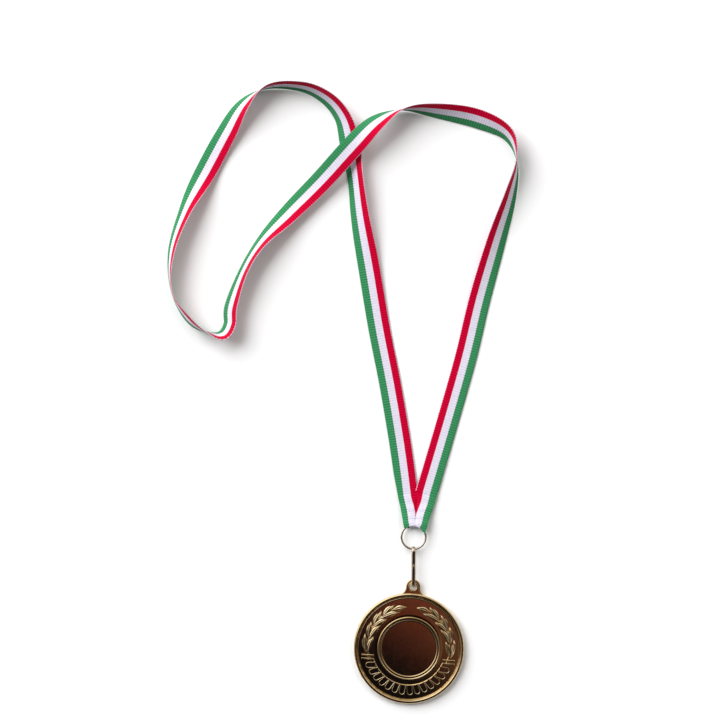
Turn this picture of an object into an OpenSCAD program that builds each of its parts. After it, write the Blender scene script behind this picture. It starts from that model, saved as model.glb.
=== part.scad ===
// Prize medal with a laurel wreath, hung from a striped neck ribbon by a split ring and a snap clip.
// The medal lies face up: +Z out of its face, +Y from its centre towards the ear.
// The origin is the centre of the medal's flat back.

/* [Medal] */
// Diameter of the medal
medal_d = 50; // [48:0.5:52]
// Thickness of the medal over its rim
medal_t = 3.2; // [3:0.1:3.6]
// Width of the polished rim
rim_w = 1.6; // [1.2:0.1:2]
// Height of the sunken field above the back
field_z = 2.2; // [1.8:0.1:2.4]
// Diameter of the emblem recess in the middle
emblem_d = 25.4; // [24:0.2:26]
// Depth of the emblem recess below its raised ring
emblem_depth = 0.8; // [0.5:0.1:1]

/* [Ear] */
// Distance from the medal's centre to the hole in its ear
ear_hole_y = 28; // [27.5:0.1:28.5]
// Diameter of the hole in the ear
ear_hole_d = 3.2; // [3.1:0.1:3.4]
// Thickness of the ear
ear_t = 1.4; // [1.2:0.1:1.4]

/* [Clip] */
// Length of the snap clip over its ends
clip_len = 18.4; // [17:0.2:20]
// Height of the clip across its two legs
clip_h = 5; // [5:0.2:6]
// Width of the clip's strip
strip_w = 1.6; // [1.4:0.1:1.6]
// Thickness of the clip's strip
strip_t = 0.7; // [0.5:0.1:0.7]

/* [Ring] */
// Outside diameter of the ring
ring_d = 12; // [11:0.5:13]
// Diameter of the ring's wire
wire_d = 1; // [0.8:0.1:1]

/* [Ribbon] */
// Width of the neck ribbon
ribbon_w = 10; // [9:0.5:10.5]
// Thickness of the neck ribbon
ribbon_t = 0.6; // [0.4:0.1:0.8]

/* [Hidden] */

$fn = 96;
eps = 0.01;

// medal face
medal_r = medal_d / 2;
rim_round = 0.8;
bead_outer_r = 14.2;
bead_round = 0.45;
bead_top_z = field_z + 0.5;
emblem_r = emblem_d / 2;
emblem_z = bead_top_z - emblem_depth;
back_groove_r = 22;
back_groove_w = 0.6;
back_groove_depth = 0.3;

// laurel leaves of the right-hand branch: [tip angle, tip radius, root angle, root radius, height]
// with the angles counted from the +Y axis
leaves = [
    [6.5, 18.7, 25.5, 18.7, 0.60],
    [22, 20.8, 41, 18.9, 0.50],
    [39.5, 20.9, 59, 19.3, 0.58],
    [58, 20.9, 77, 19.0, 0.50],
    [75, 20.9, 96, 19.5, 0.58],
    [17, 16.8, 46.5, 18.6, 0.44],
    [40.5, 16.5, 62, 18.7, 0.40],
    [55, 16.6, 77, 18.4, 0.44],
    [75, 16.9, 95.5, 18.3, 0.40]];
leaf_w = 2.2;

// fluted tabs along the bottom
tab_count = 7;
tab_pitch = 9.6;
tab_first = 5.2;
tab_inner_r = 16.6;
tab_outer_r = 21.1;
tab_fan = 1.33;
tab_h = 0.5;

// bars that tie each branch
bar_w = 0.85;
bar_y = [-4.3, -5.9];
bar_x0 = 15.6;
bar_x1 = 21.2;
bar_h = 0.55;

// ear
ear_mid_z = 1.95;
ear_z0 = ear_mid_z - ear_t / 2;
ear_z1 = ear_mid_z + ear_t / 2;
ear_head_y = ear_hole_y + 0.2;
ear_head_r = 3.2;
ear_base_w = 9.6;
ear_chamfer = 0.3;
ear_root_y = 23.9;
ear_side_r = 5;
ear_collar_r = 2.15;
ear_pocket_depth = 0.35;

// the clip, ring and ribbon lie along a line that leans to -X about the ear hole
chain_lean = 3.5;

// clip, measured along the chain from the ear hole and up from the floor
clip_end_r = clip_h / 2;
clip_near = clip_end_r;
clip_far = clip_len - clip_end_r;
clip_gap_from = 9.4;
tongue_pivot = 14.9;
tongue_pivot_z = clip_h - strip_t / 2;
tongue_play = 0.12;
tongue_tip = 7.6;
tongue_drop = 0.85;
tongue_ramp = 1.6;

// ring
ring_r = (ring_d - wire_d) / 2;
ring_play = 0.1;
ring_wire_at = clip_far + clip_end_r - strip_t - wire_d / 2 - ring_play;
ring_at = ring_wire_at + ring_r;
ring_z = clip_h / 2;

// sewn fold of the ribbon round the ring
fold_at = ring_at + 5;
fold_in_r = 1.12;
fold_out_r = 1.55;
fold_half_w = 3;
fold_top_at = fold_at + 14;

// stitches across the sewn fold
stitch_count = 5;
stitch_pitch = 1.05;
stitch_len = 0.7;
stitch_side = 1;
thread_r = 0.15;
stitch_at = fold_at + 3.6;
stitch_z = [0.72, 3.12];

// Route of the ribbon's middle line: [x, y, z, roll], where roll turns the flat band about its own run.
// At roll 0 the band lies flat with its red edge on the right of the run, and at 90 it stands on its green edge.
route = [
    [-5.5, 69, 0.8, 0], [-10, 91, 0.5, 0], [-16.5, 118, 0.5, 0], [-23.5, 144, 0.5, 0],
    [-30, 171, 1.2, 8], [-35.5, 193, 3, 32], [-39, 211, 3.8, 44], [-42.5, 226, 2.6, 24],
    [-46.5, 237.5, 3.7, 44], [-54, 245.5, 4.5, 57], [-65.5, 250, 5, 71], [-81, 249, 5.3, 88],
    [-91.5, 240.5, 4.2, 130], [-99, 226.5, 1.8, 163], [-106.5, 210, 1.3, 170], [-114.5, 191, 4.2, 132],
    [-119.5, 171.5, 4.9, 114], [-118, 153.5, 5.3, 98], [-109, 141, 5.1, 108], [-99, 136, 5.3, 84],
    [-93.5, 136, 4.9, 58], [-91, 141, 4.4, 52], [-91, 149, 4.2, 50], [-86.5, 165, 4.7, 61],
    [-79.5, 178.5, 4.7, 56], [-68, 192.5, 2.8, 26], [-54.5, 208, 4, 8], [-41.5, 224, 8, 3],
    [-31, 236, 8, 37], [-19.5, 243, 5.8, 86], [-4, 243.5, 4.7, 124], [14, 241.5, 3.5, 143],
    [28, 235.5, 4.8, 119], [33, 224, 5.3, 84], [31.5, 208.5, 4.4, 54], [26.5, 186.5, 2.5, 26],
    [21, 160, 1, 7], [16.5, 133, 0.5, 0], [10, 102, 0.5, 0], [3, 70.5, 0.8, 0]];
route_steps = 2;
// the ribbon is tucked narrower over this share of its run at each end, where it enters the sewn fold
tuck_w = 8;
tuck_spans = 0.5;

// ---------- geometry helpers ----------

// place things along the chain: x across it, y along it from the ear hole
module along_chain() {
    translate([0, ear_hole_y, 0]) rotate([0, 0, chain_lean]) children();
}

// a side outline drawn as [distance along the chain, height], given a width across the chain
module across_chain(width) {
    along_chain() rotate([90, 0, 90]) translate([0, 0, -width / 2]) linear_extrude(width) children();
}

module ring_sector(outer_r, width, height) {
    difference() {
        cylinder(r = outer_r, h = height);
        translate([0, 0, -eps]) cylinder(r = outer_r - width, h = height + 2 * eps);
    }
}

// ---------- medal ----------

module disc_body() {
    rotate_extrude($fn = 180) difference() {
        union() {
            square([medal_r - rim_round, medal_t]);
            translate([0, rim_round]) square([medal_r, medal_t - 2 * rim_round]);
            for (z = [rim_round, medal_t - rim_round]) translate([medal_r - rim_round, z]) circle(rim_round);
        }
        translate([-medal_r, -eps]) square([medal_r, medal_t + 2 * eps]);
    }
}

module sunken_field() {
    translate([0, 0, field_z]) cylinder(r = medal_r - rim_w, h = medal_t, $fn = 180);
}

module bead_ring() {
    rotate_extrude($fn = 180) {
        translate([emblem_r, field_z - 0.5]) square([bead_outer_r - emblem_r, bead_top_z - bead_round - field_z + 0.5]);
        translate([emblem_r, field_z]) square([bead_outer_r - emblem_r - bead_round, bead_top_z - field_z]);
        translate([bead_outer_r - bead_round, bead_top_z - bead_round]) circle(bead_round, $fn = 32);
    }
}

// a pointed leaf, from its tip to its root, as the overlap of two discs
module leaf(tip_a, tip_r, root_a, root_r, height) {
    tip = tip_r * [sin(tip_a), cos(tip_a)];
    root = root_r * [sin(root_a), cos(root_a)];
    len = norm(root - tip);
    arc_r = (len * len + leaf_w * leaf_w) / (4 * leaf_w);
    middle = (tip + root) / 2;
    turn = atan2(root[1] - tip[1], root[0] - tip[0]);
    translate([middle[0], middle[1], field_z - 0.2]) rotate([0, 0, turn]) intersection() {
        translate([0, arc_r - leaf_w / 2, 0]) cylinder(r = arc_r, h = height + 0.2);
        translate([0, leaf_w / 2 - arc_r, 0]) cylinder(r = arc_r, h = height + 0.2);
    }
}

module laurel() {
    for (side = [0, 1]) mirror([side, 0, 0]) for (l = leaves) leaf(l[0], l[1], l[2], l[3], l[4]);
}

module fluted_tab(angle) {
    mid_r = (tab_inner_r + tab_outer_r) / 2;
    reach = tab_outer_r - tab_inner_r;
    half_w = 1.3;
    translate([mid_r * sin(angle), -mid_r * cos(angle), field_z - 0.2]) rotate([0, 0, angle * tab_fan]) {
        translate([-half_w, half_w - reach / 2, 0]) cube([2 * half_w, reach - half_w, tab_h + 0.2]);
        translate([0, half_w - reach / 2, 0]) cylinder(r = half_w, h = tab_h + 0.2, $fn = 32);
    }
}

module tab_row() {
    for (side = [0, 1]) mirror([side, 0, 0])
        for (i = [0:tab_count - 1]) fluted_tab(tab_first + i * tab_pitch);
}

module branch_ties() {
    for (side = [0, 1]) mirror([side, 0, 0]) for (y = bar_y)
        translate([bar_x0, y - bar_w / 2, field_z - 0.2]) cube([bar_x1 - bar_x0, bar_w, bar_h + 0.2]);
}

// the neck of the ear narrows in two hollow curves from the rim to the round head
module ear_neck() {
    neck_len = ear_head_y - ear_root_y;
    difference() {
        translate([-ear_base_w / 2, ear_root_y, ear_z0]) cube([ear_base_w, neck_len, ear_t]);
        for (side = [-1, 1]) translate([side * (ear_head_r + ear_side_r), ear_head_y, ear_z0 - eps])
            cylinder(r = ear_side_r, h = ear_t + 2 * eps);
    }
}

module ear_head() {
    r = ear_head_r;
    translate([0, ear_head_y, 0]) rotate_extrude()
        polygon([[0, ear_z0], [r - ear_chamfer, ear_z0], [r, ear_z0 + ear_chamfer],
                 [r, ear_z1 - ear_chamfer], [r - ear_chamfer, ear_z1], [0, ear_z1]]);
}

module ear_hole() {
    translate([0, ear_hole_y, 0]) {
        translate([0, 0, -eps]) cylinder(d = ear_hole_d, h = medal_t + 1);
        translate([0, 0, ear_z1 - ear_chamfer])
            cylinder(r1 = ear_hole_d / 2, r2 = ear_hole_d / 2 + 2 * ear_chamfer, h = 2 * ear_chamfer);
        translate([0, 0, ear_z0 - ear_chamfer])
            cylinder(r1 = ear_hole_d / 2 + 2 * ear_chamfer, r2 = ear_hole_d / 2, h = 2 * ear_chamfer);
    }
}

// the sunken three-cornered panel between the rim and the hole
module ear_pocket() {
    translate([0, 0, ear_z1 - ear_pocket_depth]) difference() {
        linear_extrude(1) polygon([[-2.9, 24.6], [2.9, 24.6], [1.9, 27.4], [-1.9, 27.4]]);
        translate([0, ear_hole_y, -eps]) cylinder(r = ear_collar_r, h = 2);
        translate([0, 0, -eps]) cylinder(r = medal_r + 0.1, h = 2, $fn = 180);
    }
}

module medal() {
    color([0.78, 0.66, 0.42]) difference() {
        union() {
            difference() {
                disc_body();
                sunken_field();
            }
            bead_ring();
            laurel();
            tab_row();
            branch_ties();
            ear_neck_outside();
            ear_head();
        }
        translate([0, 0, emblem_z]) cylinder(d = emblem_d, h = medal_t);
        ear_hole();
        ear_pocket();
        translate([0, 0, -eps]) ring_sector(back_groove_r, back_groove_w, back_groove_depth + eps);
    }
}

// only the part of the neck that stands out of the rim, so the field inside stays clear
module ear_neck_outside() {
    difference() {
        ear_neck();
        translate([0, 0, -eps]) cylinder(r = medal_r - rim_w / 2, h = medal_t + 1, $fn = 180);
    }
}

// ---------- snap clip ----------

// the clip's outline as [distance along the chain, height], shrunk by an inset
module clip_outline(inset) {
    r = clip_end_r - inset;
    for (at = [clip_near, clip_far]) translate([at, clip_end_r]) circle(r);
    translate([clip_near, clip_end_r - r]) square([clip_far - clip_near, 2 * r]);
}

module clip_hook() {
    color([0.72, 0.66, 0.52]) across_chain(strip_w) difference() {
        clip_outline(0);
        clip_outline(strip_t);
        translate([clip_gap_from, clip_h / 2])
            square([tongue_pivot + strip_t / 2 + tongue_play - clip_gap_from, clip_h]);
    }
}

// the springy end of the strip: it runs from its bend to a tip that tucks in behind the hook
module clip_tongue() {
    top = clip_h - strip_t;
    step_at = clip_gap_from + tongue_play;
    color([0.72, 0.66, 0.52]) across_chain(strip_w) {
        translate([tongue_pivot, tongue_pivot_z]) circle(strip_t / 2, $fn = 48);
        polygon([[tongue_pivot, clip_h], [step_at, clip_h], [step_at, top],
                 [clip_gap_from - 0.2, top - tongue_drop + strip_t], [tongue_tip, top - tongue_drop + strip_t],
                 [tongue_tip, top - tongue_drop], [step_at, top - tongue_drop],
                 [step_at + tongue_ramp, top], [tongue_pivot, top]]);
    }
}

// ---------- ring ----------

module ring() {
    color([0.62, 0.58, 0.50]) along_chain() translate([0, ring_at, ring_z])
        rotate_extrude() translate([ring_r, 0]) circle(wire_d / 2, $fn = 32);
}

// ---------- ribbon ----------

// side outline of the fold: closing from the height of the eye round the ring to the stitched stack
module fold_side() {
    polygon([[fold_at, ring_z], [fold_at + 0.3, ring_z + fold_out_r - 0.05], [fold_at + 6.5, 2.3],
             [fold_top_at, 1.4], [fold_top_at, 0.2], [fold_at + 6.5, 0.7],
             [fold_at + 0.3, ring_z - fold_out_r + 0.05]]);
}

// top outline of the fold: as wide as the ribbon, cut back where the ring passes through it
module fold_top() {
    polygon([[-fold_half_w, fold_at], [fold_half_w, fold_at], [fold_half_w, fold_at + 1.7],
             [ribbon_w / 2, fold_at + 2.2], [9, fold_top_at + 1], [-7.2, fold_top_at + 1],
             [-ribbon_w / 2, fold_at + 2.2], [-fold_half_w, fold_at + 1.7]]);
}

module sewn_fold() {
    color([0.85, 0.82, 0.86]) difference() {
        union() {
            intersection() {
                across_chain(3 * ribbon_w) fold_side();
                along_chain() linear_extrude(clip_h) fold_top();
            }
            across_chain(2 * fold_half_w) translate([fold_at, ring_z]) circle(fold_out_r);
        }
        across_chain(2 * fold_half_w + 2 * eps) translate([fold_at, ring_z]) circle(fold_in_r);
    }
}

// one stitch: a thread over, under and twice through the fold
module stitch() {
    for (z = stitch_z) translate([-stitch_len / 2, 0, z]) rotate([0, 90, 0]) cylinder(r = thread_r, h = stitch_len, $fn = 16);
    for (side = [-1, 1]) translate([side * stitch_len / 2, 0, stitch_z[0]]) {
        cylinder(r = thread_r, h = stitch_z[1] - stitch_z[0], $fn = 16);
        for (z = [0, stitch_z[1] - stitch_z[0]]) translate([0, 0, z]) sphere(r = thread_r, $fn = 16);
    }
}

module seam_stitching() {
    color([0.93, 0.92, 0.95]) along_chain() for (i = [0:stitch_count - 1])
        translate([stitch_side + (i - (stitch_count - 1) / 2) * stitch_pitch, stitch_at, 0]) stitch();
}

// smooth curve through the route's points: the point at place u, where whole numbers are the points
last_point = len(route) - 1;
function route_point(i) = route[max(0, min(last_point, i))];
function on_route(u) =
    let (i = min(floor(u), last_point - 1), t = u - i,
         a = route_point(i - 1), b = route_point(i), c = route_point(i + 1), d = route_point(i + 2))
    0.5 * (2 * b + (c - a) * t + (2 * a - 5 * b + 4 * c - d) * t * t + (3 * b - a - 3 * c + d) * t * t * t);

function xyz(p) = [p[0], p[1], p[2]];
function run_at(u) =
    let (step = 0.02, from = on_route(max(0, u - step)), to = on_route(min(last_point, u + step)))
    xyz(to - from) / norm(xyz(to - from));

function width_at(u) =
    let (from_end = min(u, last_point - u))
    from_end < tuck_spans ? tuck_w + (ribbon_w - tuck_w) * from_end / tuck_spans : ribbon_w;

// the eight corners of the band at place u: flat, with slightly eased edges
function band_corners(u) =
    let (p = on_route(u), run = run_at(u), w = width_at(u) / 2, t = ribbon_t / 2,
         right = [run[1], -run[0], 0] / norm([run[0], run[1]]), up = cross(right, run),
         across = right * cos(p[3]) + up * sin(p[3]), out = up * cos(p[3]) - right * sin(p[3]))
    [for (c = [[-w, -t / 2], [t - w, -t], [w - t, -t], [w, -t / 2], [w, t / 2], [w - t, t], [t - w, t], [-w, t / 2]])
        xyz(p) + across * c[0] + out * c[1]];

module ribbon() {
    sides = 8;
    rings = last_point * route_steps + 1;
    points = [for (k = [0:rings - 1]) each band_corners(k / route_steps)];
    skin = [for (k = [0:rings - 2], s = [0:sides - 1])
        let (a = k * sides + s, b = k * sides + (s + 1) % sides)
        each [[a, b, b + sides], [a, b + sides, a + sides]]];
    near_end = [for (s = [1:sides - 2]) [0, s + 1, s]];
    far = (rings - 1) * sides;
    far_end = [for (s = [1:sides - 2]) [far, far + s, far + s + 1]];
    color([0.80, 0.10, 0.28]) polyhedron(points, concat(skin, near_end, far_end));
}

medal();
clip_hook();
clip_tongue();
ring();
sewn_fold();
seam_stitching();
ribbon();
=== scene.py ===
"""Prize medal with a laurel wreath, lying face up with its striped neck ribbon.

Row frame, in metres: the origin is the centre of the medal's flat back, +Z out of its face,
+Y towards its ear. Sizes below are in millimetres unless a name says otherwise.
"""

import math

import bmesh
import bpy
import numpy as np
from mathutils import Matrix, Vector


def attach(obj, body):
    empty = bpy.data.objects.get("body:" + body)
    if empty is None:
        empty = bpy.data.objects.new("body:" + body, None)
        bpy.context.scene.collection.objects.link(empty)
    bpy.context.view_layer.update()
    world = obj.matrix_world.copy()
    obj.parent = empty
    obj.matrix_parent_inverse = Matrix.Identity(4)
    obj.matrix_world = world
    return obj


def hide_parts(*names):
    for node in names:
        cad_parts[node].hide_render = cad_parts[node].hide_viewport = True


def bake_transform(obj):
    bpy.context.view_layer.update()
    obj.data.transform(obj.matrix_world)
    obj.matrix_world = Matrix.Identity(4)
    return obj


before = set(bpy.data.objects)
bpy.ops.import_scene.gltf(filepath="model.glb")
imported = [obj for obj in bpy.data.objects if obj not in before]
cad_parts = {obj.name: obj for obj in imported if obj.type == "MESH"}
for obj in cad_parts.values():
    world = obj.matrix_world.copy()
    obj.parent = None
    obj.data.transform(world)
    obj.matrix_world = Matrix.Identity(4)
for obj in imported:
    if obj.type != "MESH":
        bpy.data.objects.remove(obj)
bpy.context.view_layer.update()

MM = 0.001
TAU = 2 * math.pi

# ---------------------------------------------------------------- sizes shared with the CAD part

MEDAL_R = 25.0
MEDAL_T = 3.2
RIM_W = 1.6
RIM_ROUND = 0.8
FIELD_Z = 2.2
EMBLEM_R = 12.7
EMBLEM_Z = 1.9
BEAD_OUTER_R = 14.2
BEAD_TOP_Z = 2.7
BEAD_EDGE_R = 0.27
EMBLEM_EDGE_R = 0.09
BACK_GROOVE_R = 22.0
DETAIL_FOOT = 0.25

# right-hand branch: tip angle, tip radius, root angle, root radius, height, from the +Y axis
OUTER_LEAVES = [
    (6.5, 18.7, 25.5, 18.7, 0.60),
    (22, 20.8, 41, 18.9, 0.50),
    (39.5, 20.9, 59, 19.3, 0.58),
    (58, 20.9, 77, 19.0, 0.50),
    (75, 20.9, 96, 19.5, 0.58),
]
INNER_LEAVES = [
    (17, 16.8, 46.5, 18.6, 0.44),
    (40.5, 16.5, 62, 18.7, 0.40),
    (55, 16.6, 77, 18.4, 0.44),
    (75, 16.9, 95.5, 18.3, 0.40),
]
LEAF_W = 2.2
LEAF_REACH = 1.14
LEAF_BEND = 0.06
VEIN_DEPTH = 0.14
VEIN_COUNT = 1.5
VEIN_LEAN = {"hatched": 0.8, "lengthwise": 0.25}

# the stalk under the leaves, each size at the tip and at the root
STEM_ANGLE = (24, 108)
STEM_R = (18.75, 18.3)
STEM_HALF_W = (0.16, 0.34)
STEM_BULGE = 0.35
STEM_H = 0.26

TAB_COUNT = 7
TAB_PITCH = 9.6
TAB_FIRST = 5.2
TAB_INNER_R = 16.6
TAB_OUTER_R = 21.1
TAB_FAN = 1.33
TAB_HALF_W = 1.3
TAB_H = 0.5
TAB_DISH = 0.08
TAB_BORDER = 0.16
TAB_LINE_TO = 71.0
TAB_LINE_HALF_W = 0.17

# a tie: two bars across the branch, and two low posts that join them
BAR_Y = (-4.3, -5.9)
BAR_X0 = 15.6
BAR_X1 = 21.2
BAR_W = 0.85
BAR_H = 0.55
POST_X = (17.9, 18.6)
POST_HALF_W = 0.14
POST_Y0 = -6.3
POST_Y1 = -4.1
POST_H = 0.2

EAR_HOLE_Y = 28.0
EAR_HOLE_R = 1.6
EAR_Z0 = 1.25
EAR_Z1 = 2.65
EAR_HEAD_Y = 28.2
EAR_HEAD_R = 3.2
EAR_ROOT_Y = 23.9
EAR_BASE_HALF = 4.8
EAR_SIDE_R = 5.0
EAR_BORDER_HALF_W = 0.42
EAR_BORDER_ROUND = 0.36
EAR_COLLAR_R = 0.34
EAR_PLATE_SUNK = 0.35

CHAIN_LEAN = math.radians(3.5)
CLIP_LEN = 18.4
CLIP_H = 5.0
STRIP_W = 1.6
STRIP_T = 0.7
CLIP_GAP_FROM = 9.4
TONGUE_PIVOT = 14.9
TONGUE_TIP = 7.6
TONGUE_DROP = 0.85
TONGUE_STEP_FROM = CLIP_GAP_FROM + 0.05
TONGUE_STEP_TO = CLIP_GAP_FROM + 1.75
HOOK_END = TONGUE_PIVOT + 0.47

RING_R = 5.5
WIRE_R = 0.5
RING_AT = 22.6
RING_Z = 2.5

RIBBON_W = 10.0
RIBBON_T = 0.42
RIB_PITCH = 1.15

# the ribbon's middle line: x, y, z and roll in degrees
ROUTE = [
    (-5.5, 69, 0.8, 0), (-10, 91, 0.5, 0), (-16.5, 118, 0.5, 0), (-23.5, 144, 0.5, 0),
    (-30, 171, 1.2, 8), (-35.5, 193, 3, 32), (-39, 211, 3.8, 44), (-42.5, 226, 2.6, 24),
    (-46.5, 237.5, 3.7, 44), (-54, 245.5, 4.5, 57), (-65.5, 250, 5, 71),
    (-81, 249, 5.3, 88), (-91.5, 240.5, 4.2, 130), (-99, 226.5, 1.8, 163),
    (-106.5, 210, 1.3, 170), (-114.5, 191, 4.2, 132), (-119.5, 171.5, 4.9, 114),
    (-118, 153.5, 5.3, 98), (-109, 141, 5.1, 108), (-99, 136, 5.3, 84), (-93.5, 136, 4.9, 58),
    (-91, 141, 4.4, 52), (-91, 149, 4.2, 50), (-86.5, 165, 4.7, 61), (-79.5, 178.5, 4.7, 56),
    (-68, 192.5, 2.8, 26), (-54.5, 208, 4, 8), (-41.5, 224, 8, 3), (-31, 236, 8, 37),
    (-19.5, 243, 5.8, 86), (-4, 243.5, 4.7, 124), (14, 241.5, 3.5, 143), (28, 235.5, 4.8, 119),
    (33, 224, 5.3, 84), (31.5, 208.5, 4.4, 54), (26.5, 186.5, 2.5, 26), (21, 160, 1, 7),
    (16.5, 133, 0.5, 0), (10, 102, 0.5, 0), (3, 70.5, 0.8, 0),
]


# ---------------------------------------------------------------- small helpers

def chain(x, u, z):
    """A point given across the chain, along it from the ear hole, and up, in the row frame."""
    c, s = math.cos(CHAIN_LEAN), math.sin(CHAIN_LEAN)
    return (x * c - u * s, EAR_HOLE_Y + x * s + u * c, z)


def lerp(a, b, t):
    return a + (b - a) * t


def turns(count):
    """Evenly spaced angles round a circle."""
    return [TAU * k / count for k in range(count)]


def smooth(t):
    """An S-shaped rise from 0 to 1."""
    t = min(1.0, max(0.0, t))
    return t * t * (3 - 2 * t)


def through(x, points):
    """The height at x of a smooth curve through points with rising x."""
    if x <= points[0][0]:
        return points[0][1]
    for (x0, y0), (x1, y1) in zip(points, points[1:]):
        if x <= x1:
            return lerp(y0, y1, smooth((x - x0) / (x1 - x0)))
    return points[-1][1]


def spline(points, t):
    """Catmull-Rom point at place t, where whole numbers are the points."""
    last = len(points) - 1
    i = min(int(math.floor(t)), last - 1)
    f = t - i
    a, b, c, d = (np.array(points[max(0, min(last, i + k))], float) for k in (-1, 0, 1, 2))
    return 0.5 * (
        2 * b + (c - a) * f + (2 * a - 5 * b + 4 * c - d) * f * f + (3 * b - a - 3 * c + d) * f ** 3
    )


def build(name, verts, faces):
    """A new object from corners in millimetres."""
    mesh = bpy.data.meshes.new(name)
    mesh.from_pydata([tuple(c * MM for c in v) for v in verts], [], faces)
    mesh.validate()
    mesh.update()
    obj = bpy.data.objects.new(name, mesh)
    bpy.context.scene.collection.objects.link(obj)
    return obj


def shade(obj, angle):
    """Shade smooth, apart from edges sharper than an angle in degrees."""
    obj.data.shade_smooth()
    obj.data.set_sharp_from_angle(angle=math.radians(angle))


def outward(obj):
    """Turn every face outwards."""
    bm = bmesh.new()
    bm.from_mesh(obj.data)
    bmesh.ops.recalc_face_normals(bm, faces=bm.faces)
    bm.to_mesh(obj.data)
    bm.free()


def apply_modifiers(obj):
    bpy.context.view_layer.update()
    graph = bpy.context.evaluated_depsgraph_get()
    mesh = bpy.data.meshes.new_from_object(obj.evaluated_get(graph), depsgraph=graph)
    obj.modifiers.clear()
    obj.data = mesh


def combine(base, tools, operation):
    """Join or cut closed meshes into one closed skin."""
    group = bpy.data.collections.new("tools")
    for tool in tools:
        bpy.context.scene.collection.objects.unlink(tool)
        group.objects.link(tool)
    bpy.context.scene.collection.children.link(group)
    mod = base.modifiers.new(operation, "BOOLEAN")
    mod.operation = operation
    mod.solver = "MANIFOLD"
    mod.operand_type = "COLLECTION"
    mod.collection = group
    apply_modifiers(base)
    for tool in tools:
        bpy.data.objects.remove(tool)
    bpy.data.collections.remove(group)


def tube(name, rings, closed=False):
    """A skin over a row of equal-sided sections, capped at both ends unless it closes on itself."""
    n = len(rings[0])
    verts = [v for ring in rings for v in ring]
    faces = []
    count = len(rings)
    for k in range(count if closed else count - 1):
        a, b = k * n, ((k + 1) % count) * n
        faces += [(a + s, a + (s + 1) % n, b + (s + 1) % n, b + s) for s in range(n)]
    if not closed:
        faces.append(tuple(reversed(range(n))))
        faces.append(tuple(range((count - 1) * n, count * n)))
    obj = build(name, verts, faces)
    outward(obj)
    return obj


def lathe(name, profile, segments=256):
    """A closed profile of [radius, height] turned about Z; a radius of 0 becomes one point."""
    verts, faces, rows = [], [], []
    for r, z in profile:
        if r < 1e-6:
            rows.append([len(verts)] * segments)
            verts.append((0, 0, z))
        else:
            rows.append(list(range(len(verts), len(verts) + segments)))
            verts += [(r * math.cos(a), r * math.sin(a), z) for a in turns(segments)]
    for a, b in zip(rows, rows[1:]):
        for i in range(segments):
            j = (i + 1) % segments
            corners = []
            for v in (a[i], a[j], b[j], b[i]):
                if v not in corners:
                    corners.append(v)
            if len(corners) > 2:
                faces.append(tuple(corners))
    obj = build(name, verts, faces)
    outward(obj)
    return obj


def arc(cx, cy, r, a0, a1, steps):
    """Points of a circular arc, angles in degrees."""
    angles = [math.radians(lerp(a0, a1, k / steps)) for k in range(steps + 1)]
    return [(cx + r * math.cos(a), cy + r * math.sin(a)) for a in angles]


def rounded_rectangle(half_w, half_h, corner, steps):
    """An outline about the origin, with an arc of so many steps at each corner."""
    points = []
    for sx, sy, start in ((1, 1, 0), (-1, 1, 90), (-1, -1, 180), (1, -1, 270)):
        points += arc(sx * (half_w - corner), sy * (half_h - corner), corner, start, start + 90, steps)
    return points


def store_weave(obj, across, along):
    """Keep each point's place in the weave: across from -1 to 1, and along in metres."""
    for name, values in (("across", across), ("along", along)):
        layer = obj.data.attributes.new(name, "FLOAT", "POINT")
        layer.data.foreach_set("value", values)


# ---------------------------------------------------------------- materials

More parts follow.
